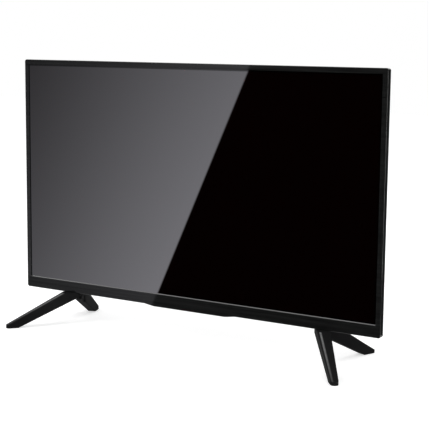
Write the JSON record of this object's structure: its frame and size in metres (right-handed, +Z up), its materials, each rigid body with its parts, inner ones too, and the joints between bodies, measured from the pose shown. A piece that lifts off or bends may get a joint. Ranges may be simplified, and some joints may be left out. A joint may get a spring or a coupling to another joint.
{
  "type": "flat screen television",
  "caption": "Flat screen television with a slim black frame, a deeper rear housing with sockets and a wall mount pattern, on two V shaped feet.",
  "frame": {"origin": "middle of the footprint, on the surface that the feet stand on", "axes": "+X to the viewer's right along the screen, -Y the way the screen faces, +Z up"},
  "size_m": [0.718, 0.221, 0.48],
  "materials": {
    "bezel_plastic": "satin black moulding with a fine horizontal hairline",
    "screen_face": "dark polished display face",
    "smoked_window": "smoked infrared lens",
    "cover_plastic": "black moulding with a fine spark texture",
    "foot_plastic": "satin black moulding",
    "frame_plastic": "black moulding",
    "white_plastic": "white diffusing plastic",
    "reflector_white": "white foamed sheet",
    "clear_lens": "clear moulded lens",
    "tray_steel": "zinc coated steel sheet",
    "plated_steel": "nickel plated steel",
    "black_steel": "black zinc plated screws",
    "board_green": "green solder mask",
    "flex_amber": "amber polyimide film",
    "heatsink_aluminium": "extruded aluminium",
    "transformer_ferrite": "ferrite core and taped bobbin",
    "capacitor_sleeve": "dark shrink sleeve",
    "jack_plastic": "black socket moulding",
    "phono_plastic": "coloured phono jacks",
    "speaker_plastic": "black speaker box",
    "cone_paper": "pressed paper cone",
    "soft_rubber": "black rubber",
    "key_plastic": "black key moulding",
    "lead_jacket": "black insulated wire",
    "ribbon_film": "flat ribbon"
  },
  "bodies": {
    "television": {"front_bezel": "bezel_plastic", "infrared_window": "smoked_window", "lcd_glass": "screen_face", "driver_boards": "board_green", "panel_flex": "flex_amber", "mid_frame": "frame_plastic", "optical_films": "white_plastic", "diffuser_plate": "white_plastic", "reflector_sheet": "reflector_white", "light_strips": "board_green", "strip_lenses": "clear_lens", "backlight_tray": "tray_steel", "rear_cover": "cover_plastic", "rear_cover_screws": "black_steel", "wall_mount_posts": "plated_steel", "main_board": "board_green", "main_heatsink": "heatsink_aluminium", "hdmi_sockets": "plated_steel", "usb_socket": "plated_steel", "headphone_jack": "jack_plastic", "lan_socket": "plated_steel", "aerial_tuner": "plated_steel", "av_jacks": "phono_plastic", "optical_socket": "jack_plastic", "power_board": "board_green", "transformer": "transformer_ferrite", "mains_capacitors": "capacitor_sleeve", "power_heatsink": "heatsink_aluminium", "mains_inlet": "jack_plastic", "timing_board": "board_green", "display_ribbon": "ribbon_film", "board_screws": "plated_steel", "speaker_left": "speaker_plastic", "speaker_right": "speaker_plastic", "speaker_grommets": "soft_rubber", "key_board": "board_green", "receiver_board": "board_green", "foot_right": "foot_plastic", "foot_left": "foot_plastic", "foot_pads": "soft_rubber", "foot_screws": "black_steel", "foot_brackets": "tray_steel", "speaker_leads": "lead_jacket", "lamp_lead": "lead_jacket", "sensor_leads": "lead_jacket", "supply_lead": "lead_jacket"},
    "power_key": {"power_key": "key_plastic"},
    "source_key": {"source_key": "key_plastic"},
    "menu_key": {"menu_key": "key_plastic"},
    "channel_down_key": {"channel_down_key": "key_plastic"},
    "channel_up_key": {"channel_up_key": "key_plastic"},
    "volume_down_key": {"volume_down_key": "key_plastic"},
    "volume_up_key": {"volume_up_key": "key_plastic"},
    "speaker_cone_left": {"speaker_cone_left": "cone_paper"},
    "speaker_cone_right": {"speaker_cone_right": "cone_paper"}
  },
  "joints": [
    {"name": "power_key_press", "type": "slide", "parent": "television", "child": "power_key", "axis": [0, -1, 0], "range_m": [0, 0.0008], "stiffness_N_per_m": 1500},
    {"name": "source_key_press", "type": "slide", "parent": "television", "child": "source_key", "axis": [0, -1, 0], "range_m": [0, 0.0008], "stiffness_N_per_m": 1500},
    {"name": "menu_key_press", "type": "slide", "parent": "television", "child": "menu_key", "axis": [0, -1, 0], "range_m": [0, 0.0008], "stiffness_N_per_m": 1500},
    {"name": "channel_down_key_press", "type": "slide", "parent": "television", "child": "channel_down_key", "axis": [0, -1, 0], "range_m": [0, 0.0008], "stiffness_N_per_m": 1500},
    {"name": "channel_up_key_press", "type": "slide", "parent": "television", "child": "channel_up_key", "axis": [0, -1, 0], "range_m": [0, 0.0008], "stiffness_N_per_m": 1500},
    {"name": "volume_down_key_press", "type": "slide", "parent": "television", "child": "volume_down_key", "axis": [0, -1, 0], "range_m": [0, 0.0008], "stiffness_N_per_m": 1500},
    {"name": "volume_up_key_press", "type": "slide", "parent": "television", "child": "volume_up_key", "axis": [0, -1, 0], "range_m": [0, 0.0008], "stiffness_N_per_m": 1500},
    {"name": "speaker_cone_left_travel", "type": "slide", "parent": "television", "child": "speaker_cone_left", "axis": [0, 0, -1], "range_m": [-0.0005, 0.0005], "stiffness_N_per_m": 2500},
    {"name": "speaker_cone_right_travel", "type": "slide", "parent": "television", "child": "speaker_cone_right", "axis": [0, 0, -1], "range_m": [-0.0005, 0.0005], "stiffness_N_per_m": 2500}
  ]
}
